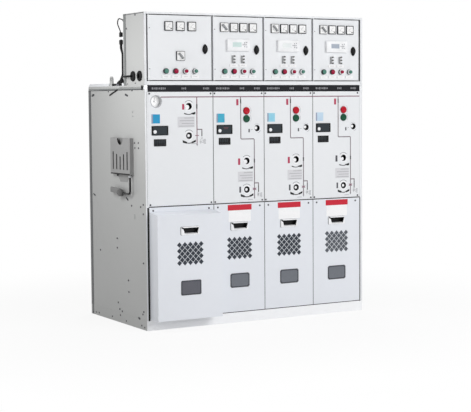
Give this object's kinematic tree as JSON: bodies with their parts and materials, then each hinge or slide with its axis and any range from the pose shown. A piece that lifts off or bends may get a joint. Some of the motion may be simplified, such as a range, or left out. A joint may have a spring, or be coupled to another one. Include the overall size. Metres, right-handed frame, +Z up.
{
  "type": "medium-voltage switchgear",
  "caption": "Row of metal-clad ring main switchgear bays with vented cable covers, mimic front panels and a low-voltage instrument box with hinged doors on its roof.",
  "frame": {"origin": "on the floor, at the middle of the base frame and of its anchor holes", "axes": "+X right seen from the front, +Y to the back, +Z up; the front faces -Y"},
  "size_m": [1.4379, 0.8365, 1.71],
  "materials": {
    "panel_white": "satin powder coat, near white",
    "panel_grey": "satin powder coat, light grey",
    "bare_steel": "galvanised or brushed sheet",
    "black_plastic": "fine-grained black",
    "name_black": "black strip",
    "smoked_pane": "dark grey pane",
    "instrument_dark": "dark grey moulded cases",
    "gauge_metal": "bright rim",
    "rubber_black": "glands, leads and plug",
    "lever_black": "black paint",
    "button_red": "red",
    "button_green": "dark green"
  },
  "bodies": {
    "cabinet": {"base_frame": "panel_white", "left_side_panel": "panel_grey", "right_side_panel": "panel_grey", "rear_panel": "panel_grey", "roof_panel": "panel_white", "rear_roof_cover": "panel_white", "front_frame": "bare_steel", "bay_partitions": "bare_steel", "gas_tank": "bare_steel", "cover_grips": "black_plastic", "inspection_windows": "smoked_pane", "name_strip": "name_black", "operating_sockets": "black_plastic", "pressure_gauge": "gauge_metal", "indicator_units": "black_plastic", "voltage_displays": "black_plastic", "lv_left_side": "panel_grey", "lv_right_side": "panel_grey", "lv_top": "panel_white", "lv_bottom": "panel_white", "lv_back": "panel_grey", "lv_posts": "panel_grey", "cable_glands": "rubber_black", "wiring_leads": "rubber_black", "wiring_fittings": "rubber_black", "lifting_eyes": "panel_grey", "document_holder": "panel_grey", "operating_lever": "lever_black", "front_panel_1": "panel_white", "cable_cover_1": "panel_white", "front_panel_2": "panel_white", "cable_cover_2": "panel_white", "front_panel_3": "panel_white", "cable_cover_3": "panel_white", "front_panel_4": "panel_white", "cable_cover_4": "panel_white"},
    "door_1": {"lv_door_1": "panel_white", "instruments_1": "instrument_dark"},
    "knob_1": {"lock_1": "black_plastic"},
    "door_2": {"lv_door_2": "panel_white", "instruments_2": "instrument_dark"},
    "knob_2": {"lock_2": "black_plastic"},
    "door_3": {"lv_door_3": "panel_white", "instruments_3": "instrument_dark"},
    "knob_3": {"lock_3": "black_plastic"},
    "door_4": {"lv_door_4": "panel_white", "instruments_4": "instrument_dark"},
    "knob_4": {"lock_4": "black_plastic"},
    "red_button_2": {"red_button_2": "button_red"},
    "green_button_2": {"green_button_2": "button_green"},
    "red_button_3": {"red_button_3": "button_red"},
    "green_button_3": {"green_button_3": "button_green"},
    "red_button_4": {"red_button_4": "button_red"},
    "green_button_4": {"green_button_4": "button_green"}
  },
  "joints": [
    {"name": "door_1_hinge", "type": "hinge", "parent": "cabinet", "child": "door_1", "pos_m": [-0.6755, -0.3635, 1.521], "axis": [0, 0, -1], "range_deg": [0, 110]},
    {"name": "lock_1_turn", "type": "hinge", "parent": "door_1", "child": "knob_1", "pos_m": [-0.337, -0.37, 1.51581], "axis": [0, -1, 0], "range_deg": [0, 90]},
    {"name": "door_2_hinge", "type": "hinge", "parent": "cabinet", "child": "door_2", "pos_m": [-0.2785, -0.3635, 1.521], "axis": [0, 0, -1], "range_deg": [0, 110]},
    {"name": "lock_2_turn", "type": "hinge", "parent": "door_2", "child": "knob_2", "pos_m": [-0.012, -0.37, 1.51581], "axis": [0, -1, 0], "range_deg": [0, 90]},
    {"name": "door_3_hinge", "type": "hinge", "parent": "cabinet", "child": "door_3", "pos_m": [0.0465, -0.3635, 1.521], "axis": [0, 0, -1], "range_deg": [0, 110]},
    {"name": "lock_3_turn", "type": "hinge", "parent": "door_3", "child": "knob_3", "pos_m": [0.313, -0.37, 1.51581], "axis": [0, -1, 0], "range_deg": [0, 90]},
    {"name": "door_4_hinge", "type": "hinge", "parent": "cabinet", "child": "door_4", "pos_m": [0.3715, -0.3635, 1.521], "axis": [0, 0, -1], "range_deg": [0, 110]},
    {"name": "lock_4_turn", "type": "hinge", "parent": "door_4", "child": "knob_4", "pos_m": [0.638, -0.37, 1.51581], "axis": [0, -1, 0], "range_deg": [0, 90]},
    {"name": "red_button_2_press", "type": "slide", "parent": "cabinet", "child": "red_button_2", "axis": [0, 1, 0], "range_m": [0, 0.006], "stiffness_N_per_m": 400},
    {"name": "green_button_2_press", "type": "slide", "parent": "cabinet", "child": "green_button_2", "axis": [0, 1, 0], "range_m": [0, 0.006], "stiffness_N_per_m": 400},
    {"name": "red_button_3_press", "type": "slide", "parent": "cabinet", "child": "red_button_3", "axis": [0, 1, 0], "range_m": [0, 0.006], "stiffness_N_per_m": 400},
    {"name": "green_button_3_press", "type": "slide", "parent": "cabinet", "child": "green_button_3", "axis": [0, 1, 0], "range_m": [0, 0.006], "stiffness_N_per_m": 400},
    {"name": "red_button_4_press", "type": "slide", "parent": "cabinet", "child": "red_button_4", "axis": [0, 1, 0], "range_m": [0, 0.006], "stiffness_N_per_m": 400},
    {"name": "green_button_4_press", "type": "slide", "parent": "cabinet", "child": "green_button_4", "axis": [0, 1, 0], "range_m": [0, 0.006], "stiffness_N_per_m": 400}
  ]
}
